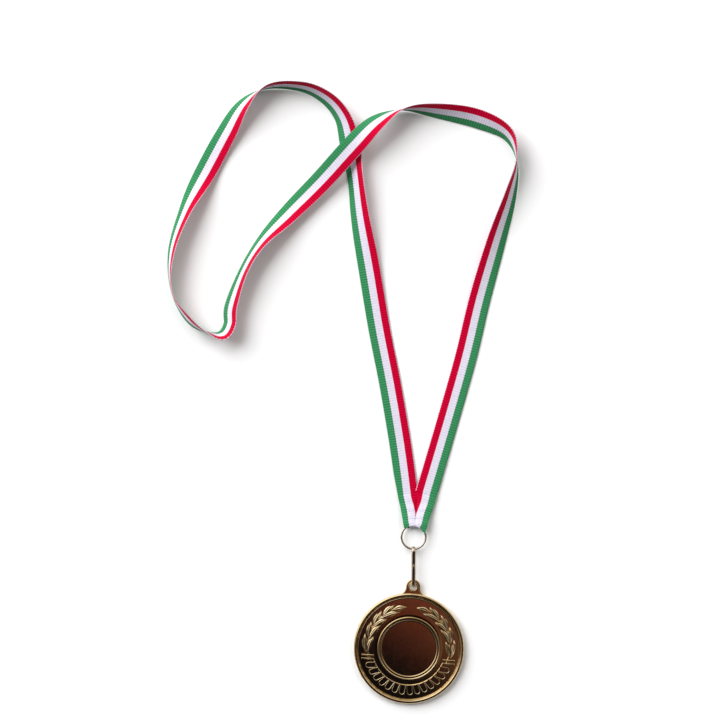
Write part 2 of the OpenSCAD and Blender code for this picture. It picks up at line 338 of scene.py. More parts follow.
class Nodes:
    """A short way to write the node tree of a material or of the world."""

    def __init__(self, owner):
        owner.use_nodes = True
        self.owner = owner
        self.tree = owner.node_tree

    def add(self, kind, inputs=None, **settings):
        node = self.tree.nodes.new(kind)
        for key, value in settings.items():
            setattr(node, key, value)
        for key, value in (inputs or {}).items():
            self.put(node, key, value)
        return node

    def put(self, node, key, value):
        socket = node.inputs[key]
        if isinstance(value, bpy.types.NodeSocket):
            self.tree.links.new(value, socket)
        else:
            socket.default_value = value

    def math(self, operation, a, b=0.0, c=0.0):
        return self.add("ShaderNodeMath", {0: a, 1: b, 2: c}, operation=operation).outputs[0]

    def vector(self, x, y, z=0.0):
        return self.add("ShaderNodeCombineXYZ", {0: x, 1: y, 2: z}).outputs[0]

    def towards(self, direction, where):
        """How far a direction points towards a place: their dot product."""
        node = self.add("ShaderNodeVectorMath", {0: direction, 1: where}, operation="DOT_PRODUCT")
        return node.outputs["Value"]

    def attribute(self, name):
        return self.add("ShaderNodeAttribute", attribute_name=name).outputs["Fac"]

    def position(self):
        return self.add("ShaderNodeTexCoord").outputs["Object"]

    def noise(self, vector, scale, detail=3.0, roughness=0.55, stretch=None):
        if stretch:
            vector = self.add("ShaderNodeMapping", {"Vector": vector, "Scale": stretch}).outputs[0]
        node = self.add("ShaderNodeTexNoise",
                        {"Vector": vector, "Scale": scale, "Detail": detail, "Roughness": roughness})
        return node.outputs["Fac"]

    def spread(self, value, low, high, out_low, out_high):
        """An S-shaped change from out_low to out_high as the value goes from low to high."""
        node = self.add("ShaderNodeMapRange",
                        {"Value": value, "From Min": low, "From Max": high,
                         "To Min": out_low, "To Max": out_high}, interpolation_type="SMOOTHSTEP")
        return node.outputs["Result"]

    def ramp(self, fac, stops):
        node = self.add("ShaderNodeValToRGB", {"Fac": fac})
        elements = node.color_ramp.elements
        while len(elements) < len(stops):
            elements.new(0.5)
        for element, (place, colour) in zip(elements, stops):
            element.position = place
            element.color = (*colour, 1)
        return node.outputs["Color"]

    def mix(self, fac, a, b, blend="MIX"):
        node = self.add("ShaderNodeMix", data_type="RGBA", blend_type=blend)
        self.put(node, 0, fac)
        for index, value in ((6, a), (7, b)):
            self.put(node, index, value if isinstance(value, bpy.types.NodeSocket) else (*value, 1))
        return node.outputs[2]

    def bump(self, height, distance, strength, normal=None):
        inputs = {"Height": height, "Distance": distance, "Strength": strength}
        if normal:
            inputs["Normal"] = normal
        return self.add("ShaderNodeBump", inputs).outputs["Normal"]

    def shade(self, **inputs):
        """Set the material's shader, and give the material back."""
        shader = self.tree.nodes["Principled BSDF"]
        for key, value in inputs.items():
            self.put(shader, key.replace("_", " "), value)
        return self.owner


def new_material(name):
    return Nodes(bpy.data.materials.new(name))


def linear(c):
    c /= 255
    return c / 12.92 if c <= 0.04045 else ((c + 0.055) / 1.055) ** 2.4


def srgb(r, g, b):
    """A colour given as it looks on a screen."""
    return (linear(r), linear(g), linear(b))


def plated_metal(name, light, deep, polish, streak=None):
    """Plated, polished metal: tone drifts a little, hairline scratches, worn and dulled spots."""
    n = new_material(name)
    where = n.position()
    drift = n.noise(where, 90, 2)
    colour = n.mix(n.spread(drift, 0.3, 0.7, 0, 1), light, deep)
    haze = n.noise(where, 420, 4, 0.6)
    rough = n.spread(haze, 0.4, 0.8, polish, polish + 0.05)
    scratches = n.noise(where, 900, 2, 0.5, stretch=streak or (1, 0.06, 1))
    fine = n.spread(scratches, 0.62, 0.7, 0, 1)
    rough = n.math("ADD", rough, n.math("MULTIPLY", fine, 0.03))
    waves = n.noise(where, 140, 2)
    normal = n.bump(waves, 0.00003, 0.25)
    normal = n.bump(scratches, 0.000002, 0.3, normal)
    return n.shade(Base_Color=colour, Metallic=1.0, Roughness=rough, Normal=normal)


GREEN = srgb(60, 142, 92)
WHITE = srgb(222, 216, 232)
RED = srgb(204, 0, 50)
SELVEDGE = srgb(214, 190, 205)

# the warp's colours from the green edge, at 0, to the red edge, at 1
STRIPES = [(0.0, GREEN), (0.325, GREEN), (0.335, WHITE), (0.655, WHITE), (0.665, RED), (0.972, RED),
           (0.98, SELVEDGE)]
WHITE_MIDDLE = 0.495


def ribbon_fabric(name):
    """Ribbed ribbon: green, white and red warp over thick wefts, stepped a little at every rib, with
    painted shade darkening the valleys between the ribs, deeper on the green and red than on the white.
    """
    n = new_material(name)
    across, along = n.attribute("across"), n.attribute("along")
    ribs = n.math("SINE", n.math("MULTIPLY", along, TAU / (RIB_PITCH * MM)))
    ragged = n.math("MULTIPLY", ribs, 0.012)
    slub = n.noise(n.vector(across, n.math("MULTIPLY", along, 900)), 2.5, 2)
    place = n.math("ADD", across, n.math("ADD", ragged, n.math("MULTIPLY", slub, 0.03)))
    place = n.math("MULTIPLY_ADD", place, 0.5, 0.49)
    stripes = n.ramp(place, STRIPES)
    threads = n.math("SINE", n.math("MULTIPLY", across, 120))
    tone = n.noise(n.vector(n.math("MULTIPLY", across, 30), n.math("MULTIPLY", along, 700)), 1.0, 3)
    from_white = n.math("ABSOLUTE", n.math("SUBTRACT", place, WHITE_MIDDLE))
    # painted shade: how dark the rib valleys are painted, 0.86 on the white middle and 0.58 on the green
    # and red stripes
    valley = n.spread(from_white, 0.15, 0.18, 0.86, 0.58)
    shadow = n.spread(ribs, -1.0, 0.1, valley, 1.0)
    grain = n.spread(tone, 0.3, 0.7, 0.90, 1.06)
    # the colour's multiplier: painted shade in the rib valleys, random tone and fine thread lines
    weave = n.math("MULTIPLY", n.math("MULTIPLY", shadow, grain), n.spread(threads, -1, 1, 0.95, 1.03))
    colour = n.mix(1.0, stripes, n.vector(weave, weave, weave), "MULTIPLY")
    normal = n.bump(threads, 0.00003, 0.5)
    normal = n.bump(tone, 0.00008, 0.4, normal)
    rough = n.spread(tone, 0.2, 0.8, 0.66, 0.82)
    return n.shade(Base_Color=colour, Roughness=rough, Normal=normal, Sheen_Weight=0.02,
                   Sheen_Roughness=0.4, Specular_IOR_Level=0.08)


def thread_material(name):
    """White sewing thread: a lighter and a darker strand twisted together, a little fuzzy."""
    n = new_material(name)
    where = n.position()
    twist = n.add("ShaderNodeTexWave", {"Vector": where, "Scale": 900.0, "Distortion": 2.0},
                  bands_direction="DIAGONAL").outputs["Fac"]
    fuzz = n.noise(where, 2500, 3)
    colour = n.mix(n.spread(twist, 0, 1, 0, 1), srgb(216, 210, 226), srgb(240, 238, 246))
    normal = n.bump(twist, 0.00004, 0.6)
    normal = n.bump(fuzz, 0.00002, 0.5, normal)
    rough = n.spread(fuzz, 0.2, 0.8, 0.55, 0.75)
    return n.shade(Base_Color=colour, Roughness=rough, Normal=normal, Sheen_Weight=0.3)


def floor_material(name):
    """A matt, nearly white surface."""
    n = new_material(name)
    tone = n.noise(n.position(), 12, 2)
    colour = n.mix(tone, (0.90, 0.90, 0.90), (0.93, 0.93, 0.93))
    return n.shade(Base_Color=colour, Roughness=0.85, Specular_IOR_Level=0.1)


def dress(obj, material):
    obj.data.materials.clear()
    obj.data.materials.append(material)


# ---------------------------------------------------------------- camera

# straight above the point of the floor that the view is centred on, in metres
CAMERA_OVER = (-0.0312, 0.1288)
CAMERA_HEIGHT = 0.75
VIEW_WIDTH = 0.3272
VIEW_ROLL = math.radians(4)
SENSOR = 36


def make_camera():
    data = bpy.data.cameras.new("camera")
    data.sensor_width = SENSOR
    data.lens = SENSOR * CAMERA_HEIGHT / VIEW_WIDTH
    data.clip_start = 0.01
    data.clip_end = 10
    cam = bpy.data.objects.new("camera", data)
    cam.location = (*CAMERA_OVER, CAMERA_HEIGHT)
    cam.rotation_euler = (0, 0, VIEW_ROLL)
    bpy.context.scene.collection.objects.link(cam)
    bpy.context.scene.camera = cam


# ---------------------------------------------------------------- ribbon

RIB_STEPS = 4
RIB_HEIGHT = 0.08
EDGE_SCALLOP = 0.05
# at its first end the band is narrowed towards its red edge, and at its last end it is lifted
EDGE_TUCK = 0.14
END_LIFT = 0.22
ROUTE_LAST = len(ROUTE) - 1
# places across the band, from its green edge to its red edge
ACROSS = (-1, -0.985, -0.93, -0.75, -0.5, -0.25, 0, 0.25, 0.5, 0.75, 0.93, 0.985, 1)


def route_run(t, step=0.02):
    """Direction along the route at place t."""
    run = (spline(ROUTE, min(ROUTE_LAST, t + step)) - spline(ROUTE, max(0, t - step)))[:3]
    return run / np.linalg.norm(run)


def band_frame(t):
    """Middle, direction across to the red edge, and direction out of the face at place t."""
    point, run = spline(ROUTE, t), route_run(t)
    right = np.array([run[1], -run[0], 0.0])
    right /= np.linalg.norm(right)
    up = np.cross(right, run)
    roll = math.radians(point[3])
    across = right * math.cos(roll) + up * math.sin(roll)
    out = up * math.cos(roll) - right * math.sin(roll)
    return point[:3], across, out


def even_places(spacing):
    """Places along the route that are evenly spaced in millimetres, with the distance of each."""
    fine = np.linspace(0, ROUTE_LAST, 6000)
    points = np.array([spline(ROUTE, t)[:3] for t in fine])
    run = np.concatenate([[0], np.cumsum(np.linalg.norm(np.diff(points, axis=0), axis=1))])
    count = int(round(run[-1] / spacing))
    wanted = np.linspace(0, run[-1], count + 1)
    return np.interp(wanted, run, fine), wanted


def edge_thickness(a):
    """Share of the full thickness at a share a of the way from the middle to an edge."""
    if a < 0.9:
        return 1.0
    if a < 0.95:
        return 0.85
    return 0.55 if a < 0.99 else 0.2


def rib(distance):
    """Height of the rib, 0 in the valley and 1 on the crown."""
    return 0.5 + 0.5 * math.sin(TAU * distance / RIB_PITCH)


def band_section(t, distance):
    """The band's outline at place t, front and then back, with each point's share across."""
    middle, across, out = band_frame(t)
    middle = middle + np.array([0, 0, END_LIFT * smooth(t - (ROUTE_LAST - 1))])
    crown = RIB_HEIGHT * rib(distance)
    half_w = RIBBON_W / 2 - EDGE_SCALLOP * rib(distance + RIB_PITCH / 2)
    tuck = EDGE_TUCK * (1 - smooth(t / 0.7))
    points, shares = [], []
    for side in (1, -1):
        for plain in ACROSS[::side]:
            share = lerp(plain, 1, tuck / 2)
            edge = edge_thickness(abs(plain))
            lift = side * (RIBBON_T / 2 * edge + crown * min(1, edge))
            points.append(tuple(middle + across * half_w * share + out * lift))
            shares.append(share)
    return points, shares


def make_ribbon():
    rings, across, along = [], [], []
    for t, distance in zip(*even_places(RIB_PITCH / RIB_STEPS)):
        points, shares = band_section(t, distance)
        rings.append(points)
        across += shares
        along += [distance * MM] * len(points)
    obj = tube("neck_ribbon_band", rings)
    store_weave(obj, across, along)
    shade(obj, 60)
    dress(obj, FABRIC)
    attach(obj, "neck_ribbon")
    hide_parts("ribbon")


# ---------------------------------------------------------------- medal

# the rim's inner side, as distance outwards from its foot and depth below its top
RIM_INSIDE = [(0.45, 0.02), (0.36, 0.07), (0.22, 0.2), (0.08, 0.36), (-0.01, 0.52), (-0.06, 0.7)]
# the gully at the rim's foot, as distance inwards and height over the field
RIM_GULLY = [(0.1, 0.03), (0.2, -0.07), (0.34, -0.08), (0.46, -0.02), (0.56, 0)]
# the flat of the raised ring, as distance inwards from its outer edge and depth below its top
BEAD_FLAT = [(0.58, 0.21), (0.68, 0.24), (1.1, 0.25), (1.22, 0.24)]


def on_face(radius, degrees):
    """A point of the medal's face, by its angle clockwise from the ear."""
    a = math.radians(degrees)
    return np.array([radius * math.sin(a), radius * math.cos(a)])


def back_groove():
    """The shallow groove in the back, from its inner to its outer edge."""
    r = BACK_GROOVE_R
    return [(r - 0.6, 0), (r - 0.5, 0.22), (r - 0.3, 0.3), (r - 0.1, 0.22), (r, 0)]


def rim_profile():
    """The disc's edge and flat-topped rim, down to the field."""
    corner = MEDAL_R - RIM_ROUND
    inner = MEDAL_R - RIM_W
    points = [(corner - 0.4, 0)]
    points += arc(corner, RIM_ROUND, RIM_ROUND, -90, 0, 10)
    points += arc(corner, MEDAL_T - RIM_ROUND, RIM_ROUND, 0, 84, 12)
    points += [(MEDAL_R - 0.95, MEDAL_T - 0.005)]
    points += [(inner + x, MEDAL_T - down) for x, down in RIM_INSIDE]
    points += [(inner - x, FIELD_Z + up) for x, up in RIM_GULLY]
    points += [(lerp(inner - 0.9, BEAD_OUTER_R + 0.35, k / 8), FIELD_Z) for k in range(9)]
    return points


def bead_profile():
    """The raised ring round the emblem recess: a bead at each edge and a dished flat between them."""
    points = [(BEAD_OUTER_R + 0.06, FIELD_Z + 0.03)]
    points += arc(BEAD_OUTER_R - BEAD_EDGE_R, BEAD_TOP_Z - BEAD_EDGE_R, BEAD_EDGE_R, -10, 150, 12)
    points += [(BEAD_OUTER_R - x, BEAD_TOP_Z - down) for x, down in BEAD_FLAT]
    points += arc(EMBLEM_R + 0.12, BEAD_TOP_Z - 0.29, EMBLEM_EDGE_R, 60, 180, 8)
    return points


def disc():
    """Body, rim, sunken field, raised ring and emblem recess as one turned profile."""
    profile = [(0, 0)] + back_groove() + rim_profile() + bead_profile()
    profile += [(EMBLEM_R - 0.03, EMBLEM_Z + 0.08), (EMBLEM_R - 0.2, EMBLEM_Z)]
    profile += [(lerp(EMBLEM_R - 0.5, 0, k / 6), EMBLEM_Z) for k in range(7)]
    return lathe("medal_disc", profile)


LEAF_ROWS = 36
LEAF_COLUMNS = 24


def leaf_height(s, t, height, veins):
    """Relief of a leaf at s along it from the tip and t across it, from -1 to 1."""
    crown = 1 - abs(t) ** 3
    if veins == "plain":
        lines = -0.5 * math.exp(-((t - 0.1) / 0.2) ** 2)
    else:
        lines = VEIN_DEPTH * math.cos(TAU * (VEIN_COUNT * t + VEIN_LEAN[veins] * s))
    fade = smooth(5 * s) * (1 - t ** 6)
    rise = 0.12 + 0.88 * smooth(4.5 * s)
    return height * rise * (0.35 + 0.6 * crown + lines * fade)


def leaf_width(s):
    """Share of the full width at s: a long point at the tip, and a blunter foot at the root."""
    if s < 0.5:
        return max(0.03, math.sin(math.pi * s))
    return 1 - 0.62 * smooth((s - 0.5) / 0.5) ** 1.2


def leaf(tip_a, tip_r, root_a, root_r, height, mirror, veins):
    """One closed leaf with its foot sunk in the field, as a pointed lens with veins."""
    tip = on_face(tip_r, tip_a)
    along = (on_face(root_r, root_a) - tip) * LEAF_REACH
    length = np.linalg.norm(along)
    along /= length
    side = np.array([-along[1], along[0]])
    rings = []
    for i in range(LEAF_ROWS + 1):
        s = i / LEAF_ROWS
        half = LEAF_W / 2 * leaf_width(s)
        middle = tip + along * (length * s) + side * LEAF_BEND * length * math.sin(math.pi * s)
        top, foot = [], []
        for j in range(LEAF_COLUMNS + 1):
            t = 2 * j / LEAF_COLUMNS - 1
            x, y = middle + side * half * t
            top.append((x * mirror, y, FIELD_Z + leaf_height(s, t, height, veins)))
            foot.append((x * mirror, y, FIELD_Z - DETAIL_FOOT))
        rings.append(top + foot[::-1])
    return tube("leaf", rings)


def stem(mirror):
    """The thin stalk under the leaves, from the tip leaf to the tie."""
    rings = []
    steps = 48
    for k in range(steps + 1):
        f = k / steps
        a = math.radians(lerp(*STEM_ANGLE, f))
        r = lerp(*STEM_R, f) + STEM_BULGE * math.sin(math.pi * f)
        half_w = lerp(*STEM_HALF_W, f)
        out = np.array([math.sin(a) * mirror, math.cos(a)])
        ring = []
        for b in turns(10):
            x, y = out * (r + half_w * math.cos(b))
            ring.append((x, y, FIELD_Z + 0.02 + STEM_H * math.sin(b)))
        rings.append(ring)
    return tube("stem", rings)


def inward_of(pts):
    """The unit direction into a closed outline at each of its points."""
    following = np.roll(pts, -1, 0) - pts
    before = pts - np.roll(pts, 1, 0)
    following /= np.linalg.norm(following, axis=1)[:, None]
    before /= np.linalg.norm(before, axis=1)[:, None]
    tangent = following + before
    tangent /= np.linalg.norm(tangent, axis=1)[:, None]
    inward = np.stack([-tangent[:, 1], tangent[:, 0]], 1)
    area = np.sum(pts[:, 0] * np.roll(pts[:, 1], -1) - np.roll(pts[:, 0], -1) * pts[:, 1])
    return inward if area > 0 else -inward


def pad(name, outline, levels):
    """A closed pad over an outline, by the inset and height of each of its levels."""
    pts = np.array(outline)
    inward = inward_of(pts)
    rings = []
    for inset, z in levels:
        rings.append([(x, y, z) for x, y in pts + inward * inset])
    return tube(name, rings)


def fluted_tab(angle, mirror):
    """A tab open towards the centre: straight sides and a round outer end, with a raised border."""
    mid_r = (TAB_INNER_R + TAB_OUTER_R) / 2
    top = (TAB_OUTER_R - TAB_INNER_R) / 2
    low = TAB_HALF_W - top
    side = [lerp(top, low, k / 5) for k in range(1, 5)]
    local = [(TAB_HALF_W, top), (-TAB_HALF_W, top)]
    local += [(-TAB_HALF_W, y) for y in side]
    local += arc(0, low, TAB_HALF_W, 180, 360, 14)
    local += [(TAB_HALF_W, y) for y in reversed(side)]
    cx, cy = on_face(mid_r, 180 - angle)
    turn = math.radians(angle * TAB_FAN)
    outline = []
    for x, y in local:
        outline.append(((cx + x * math.cos(turn) - y * math.sin(turn)) * mirror,
                        cy + x * math.sin(turn) + y * math.cos(turn)))
    z1 = FIELD_Z + TAB_H - TAB_DISH
    edge, floor_z = TAB_BORDER, z1 - TAB_DISH
    levels = [(0, FIELD_Z - DETAIL_FOOT), (0, z1 - edge * 0.75), (edge * 0.28, z1 - edge * 0.2),
              (edge * 0.62, z1), (edge, z1 - edge * 0.15), (edge * 1.4, floor_z), (edge * 1.6, floor_z)]
    return pad("tab", outline, levels)


def tab_line(mirror):
    """The fine raised line that joins the inner ends of the tabs."""
    rings = []
    steps = 60
    for k in range(steps + 1):
        a = math.radians(TAB_LINE_TO * k / steps)
        ring = []
        for b in turns(8):
            r = TAB_INNER_R + TAB_LINE_HALF_W * math.cos(b)
            ring.append((r * math.sin(a) * mirror, -r * math.cos(a), FIELD_Z + 0.1 + 0.26 * math.sin(b)))
        rings.append(ring)
    return tube("tab_line", rings)


def bar(x0, x1, y0, y1, mirror, height):
    """A straight rounded bar along X or Y."""
    corner = min(0.14, 0.3 * (x1 - x0), 0.3 * (y1 - y0))
    cx, cy = (x0 + x1) / 2, (y0 + y1) / 2
    outline = [((cx + x) * mirror, cy + y)
               for x, y in rounded_rectangle((x1 - x0) / 2, (y1 - y0) / 2, corner, 4)]
    edge = 0.46 * min(x1 - x0, y1 - y0)
    z1 = FIELD_Z + height
    shoulder = [math.pi / 2 * k / 5 for k in range(6)]
    levels = [(0, FIELD_Z - DETAIL_FOOT)]
    levels += [(edge * (1 - math.cos(a)), z1 - edge * (1 - math.sin(a))) for a in shoulder]
    return pad("bar", outline, levels)


def tie(mirror):
    """The two bars across a branch's root, and the low posts that join them."""
    parts = [bar(BAR_X0, BAR_X1, y - BAR_W / 2, y + BAR_W / 2, mirror, BAR_H) for y in BAR_Y]
    parts += [bar(x - POST_HALF_W, x + POST_HALF_W, POST_Y0, POST_Y1, mirror, POST_H) for x in POST_X]
    return parts


def ear_outline(inset, steps=14):
    """The ear from its root in the rim, up its right side, round its head and down its left side."""
    reach = EAR_HEAD_R + EAR_SIDE_R
    side = []
    for k in range(steps + 1):
        y = lerp(EAR_ROOT_Y, EAR_HEAD_Y, k / steps)
        x = reach - math.sqrt(EAR_SIDE_R ** 2 - (EAR_HEAD_Y - y) ** 2)
        side.append((min(x, EAR_BASE_HALF) - inset, y))
    side += arc(0, EAR_HEAD_Y, EAR_HEAD_R - inset, 0, 90, 2 * steps)[1:]
    return side + [(-x, y) for x, y in reversed(side[:-1])]


def ear_plate(hole):
    """The flat of the ear, sunk between its borders, with its hole drilled."""
    outline = ear_outline(0.4)
    rings = [[(x, y, z) for x, y in outline] for z in (EAR_Z0 + 0.08, EAR_Z1 - EAR_PLATE_SUNK)]
    plate = tube("ear_plate", rings)
    combine(plate, [plug("drill", EAR_HOLE_R + 0.12, hole, 0, 4)], "DIFFERENCE")
    return plate


def ear_border():
    """The bright rounded border that runs up one side of the ear, round its head and down again."""
    section = rounded_rectangle(EAR_BORDER_HALF_W, (EAR_Z1 - EAR_Z0) / 2, EAR_BORDER_ROUND, 5)
    mid = (EAR_Z1 + EAR_Z0) / 2
    pts = np.array(ear_outline(EAR_BORDER_HALF_W))
    tangent = np.gradient(pts, axis=0)
    tangent /= np.linalg.norm(tangent, axis=1)[:, None]
    normal = np.stack([tangent[:, 1], -tangent[:, 0]], 1)
    rings = []
    for p, n in zip(pts, normal):
        rings.append([(p[0] + n[0] * a, p[1] + n[1] * a, mid + b) for a, b in section])
    return tube("ear_border", rings)


def torus(name, major, minor, centre, z):
    """A round-wired ring that lies flat."""
    rings = []
    for a in turns(96):
        ring = []
        for b in turns(16):
            r = major + minor * math.cos(b)
            ring.append((centre[0] + r * math.cos(a), centre[1] + r * math.sin(a), z + minor * math.sin(b)))
        rings.append(ring)
    return tube(name, rings, closed=True)


def plug(name, radius, centre, z0, z1):
    """A short upright cylinder."""
    outline = [(centre[0] + radius * math.cos(a), centre[1] + radius * math.sin(a)) for a in turns(96)]
    return tube(name, [[(x, y, z) for x, y in outline] for z in (z0, z1)])


def ear():
    """The ear's flat, its border, and the collar at each mouth of its hole."""
    hole = (0, EAR_HOLE_Y)
    collars = [torus("collar", EAR_HOLE_R + EAR_COLLAR_R, EAR_COLLAR_R, hole, z)
               for z in (EAR_Z1 - EAR_COLLAR_R, EAR_Z0 + EAR_COLLAR_R)]
    return [ear_plate(hole), ear_border()] + collars


def laurel(mirror):
    """One branch: its leaves, its stalk, its tie and the tabs on its side."""
    parts = [leaf(*spec, mirror, "plain" if spec == OUTER_LEAVES[0] else "lengthwise")
             for spec in OUTER_LEAVES]
    parts += [leaf(*spec, mirror, "lengthwise" if spec == INNER_LEAVES[-1] else "hatched")
              for spec in INNER_LEAVES]
    parts += [stem(mirror), tab_line(mirror)]
    parts += [fluted_tab(TAB_FIRST + i * TAB_PITCH, mirror) for i in range(TAB_COUNT)]
    return parts + tie(mirror)


def make_medal():
    body = disc()
    combine(body, ear() + laurel(1) + laurel(-1), "UNION")
    body.name = "medal_disc_with_laurel"
    shade(body, 30)
    dress(body, GOLD)
    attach(body, "medallion")
    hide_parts("medal")


# ---------------------------------------------------------------- clip

END_WIDTHS = (0.82, 0.88, 0.94)
CLIP_MID = CLIP_H / 2
CLIP_BEND_R = CLIP_MID - STRIP_T / 2
CLIP_FAR = CLIP_LEN - CLIP_MID
CLIP_TOP = CLIP_MID + CLIP_BEND_R
CLIP_LOW = CLIP_MID - CLIP_BEND_R


def strip_section(steps=28):
    """The flattened wire's section, fuller at its sides than an ellipse."""
    out = []
    for k in range(steps):
        a = TAU * (k + 0.5) / steps
        c = math.cos(a)
        out.append((STRIP_W / 2 * math.copysign(abs(c) ** 0.75, c), STRIP_T / 2 * math.sin(a)))
    return out


def strip(name, path):
    """A rounded flat strip swept along a path of [along the chain, height], narrowed at its first end."""
    pts = np.array(path)
    tangent = np.gradient(pts, axis=0)
    tangent /= np.linalg.norm(tangent, axis=1)[:, None]
    section = strip_section()
    rings = []
    for k, (p, d) in enumerate(zip(pts, tangent)):
        width = END_WIDTHS[k] if k < len(END_WIDTHS) else 1.0
        rings.append([chain(a * width, p[0] - d[1] * b, p[1] + d[0] * b) for a, b in section])
    return tube(name, rings)


def hook_path():
    """From the gap over the medal's end, back under and round the ring's end to the tongue's root."""
    path = [(lerp(CLIP_GAP_FROM, CLIP_MID, k / 14), CLIP_TOP) for k in range(15)]
    path += arc(CLIP_MID, CLIP_MID, CLIP_BEND_R, 90, 270, 36)[1:]
    path += [(lerp(CLIP_MID, CLIP_FAR, k / 20), CLIP_LOW) for k in range(1, 20)]
    path += arc(CLIP_FAR, CLIP_MID, CLIP_BEND_R, -90, 90, 36)
    path += [(lerp(CLIP_FAR, HOOK_END, k / 2), CLIP_TOP) for k in range(1, 3)]
    return path


def tongue_path():
    """From its tip under the hook's end, up a step and along to its root."""
    tip_z = CLIP_H - TONGUE_DROP - STRIP_T / 2
    path = [(lerp(TONGUE_TIP, TONGUE_STEP_FROM, k / 12), tip_z) for k in range(13)]
    for k in range(1, 17):
        f = k / 16
        path.append((lerp(TONGUE_STEP_FROM, TONGUE_STEP_TO, f), lerp(tip_z, CLIP_TOP, smooth(f))))
    path += [(lerp(TONGUE_STEP_TO, HOOK_END, k / 20), CLIP_TOP) for k in range(1, 21)]
    return path


def make_clip():
    hook = strip("clip_hook_strip", hook_path())
    tongue = strip("clip_tongue_strip", tongue_path())
    for obj in (hook, tongue):
        shade(obj, 40)
        dress(obj, CLIP_GOLD)
    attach(hook, "snap_clip")
    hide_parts("clip_hook")
    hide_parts("clip_tongue")
    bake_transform(tongue)


# ---------------------------------------------------------------- ring

def make_ring():
    """A ring of round wire whose ends meet in a fine joint, which lies inside the fold."""
    segments, joint, joint_width = 160, 6, 0.90
    rings = []
    for k, turn in enumerate(turns(segments)):
        a = turn + math.pi / 2
        r = WIRE_R * (joint_width if k == joint else 1.0)
        ring = []
        for b in turns(20):
            out = RING_R + r * math.cos(b)
            ring.append(chain(out * math.cos(a), RING_AT + out * math.sin(a), RING_Z + r * math.sin(b)))
        rings.append(ring)
    ring = tube("split_ring_wire", rings, closed=True)
    shade(ring, 50)
    dress(ring, RING_GOLD)
    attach(ring, "split_ring")
    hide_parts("ring")


# ---------------------------------------------------------------- sewn fold

FOLD_FRONT_ROWS = 56
FOLD_TURN_ROWS = 12
FOLD_BACK_ROWS = 44
FOLD_HALF_COLUMNS = 16
FOLD_TOP = 42.0
BACK_TOP = 39.3
WRAP_R = WIRE_R + 0.06 + RIBBON_T / 2
# the fold turns round the ring right of TURN_FROM, and leaves it over TURN_EASE for its free end
TURN_FROM = -2.2
TURN_EASE = 1.2
FREE_END = 26.75
# the crease between the halves: depth and share of a half's width, for the valley and its fine line
CREASES = [(0.22, 0.14), (0.4, 0.035)]
EDGE_CURL = 0.3
EDGE_CURL_SHARE = 0.16
SWELL = 0.12
BACK_PINCH = 0.16
BACK_TAPER = 0.04
COLUMN_CROWDING = 1.8
FOLD_RIB_HEIGHT = 1.3 * RIB_HEIGHT
WEAVE_START = 0.3

# the fold's height along it, for its front and its back
FRONT_Z = [(26.0, 3.27), (28.2, 3.26), (31.2, 2.55), (34.5, 1.85), (38.5, 1.2), (42.5, 0.86)]
BACK_Z = [(26.0, 1.74), (28.2, 1.72), (31.2, 1.42), (34.5, 0.98), (39.5, 0.42)]

# outline of the fold's halves across and along the chain, from the ribbon's ends down to the ring
LEFT_EDGE = [(-7.25, 40.66), (-6.1, 36.0), (-5.2, 31.3), (-4.45, 26.7)]
CREASE_LEFT = [(1.96, 41.96), (1.3, 38.2), (0.9, 31.4), (1.25, 27.4)]
CREASE_RIGHT = [(0.78, 43.62), (1.3, 38.2), (0.9, 31.4), (1.25, 27.4)]
RIGHT_EDGE = [(10.40, 40.86), (8.9, 36.2), (7.1, 31.4), (5.2, 25.3)]
# the weave's place at each outline, at shares of the way down
LEFT_STRIPE = [(0, -0.86), (0.7, -0.83), (1, -0.8)]
LEFT_CREASE_STRIPE = [(0, 1.0), (0.68, 0.36), (1, 0.30)]
RIGHT_STRIPE = [(0, -1.0), (0.5, -0.95), (1, -0.89)]
RIGHT_CREASE_STRIPE = [(0, 1.0), (0.70, 0.36), (0.85, 0.25), (1, 0.03)]


def fold_end(x):
    """Where the front of the fold turns round the ring, or hangs free left of it."""
    if x > TURN_FROM:
        return RING_AT + math.sqrt(RING_R ** 2 - min(abs(x), 5.3) ** 2)
    turn = RING_AT + math.sqrt(RING_R ** 2 - TURN_FROM ** 2)
    return lerp(turn, FREE_END, smooth((TURN_FROM - x) / TURN_EASE))


def spot(edge, crease, t, a):
    """A point of a half, at share t down it and share a from its outer edge to the crease."""
    return lerp(spline(edge, t * (len(edge) - 1)), spline(crease, t * (len(crease) - 1)), a)


def front_height(u, t, a, side):
    """Height of the fold's front: its slope, the crease, the curled outer edge and a slight swell."""
    depth = math.sin(math.pi * min(1.0, 0.15 + t * 0.8))
    dent = depth * sum(d * math.exp(-((1 - a) / width) ** 2) for d, width in CREASES)
    curl = EDGE_CURL * max(0.0, 1 - a / EDGE_CURL_SHARE) ** 2 * math.sin(math.pi * min(1, t * 1.1))
    swell = SWELL * math.sin(math.pi * a) * math.sin(math.pi * t)
    lift = END_LIFT * (1 - t) ** 3 if side > 0 else 0.0
    return through(u, FRONT_Z) + swell - dent - curl + lift


def distances_along(points):
    """Distance of each point along a line of points, from its first."""
    out = [0.0]
    for p, q in zip(points, points[1:]):
        out.append(out[-1] + math.dist(p, q))
    return out


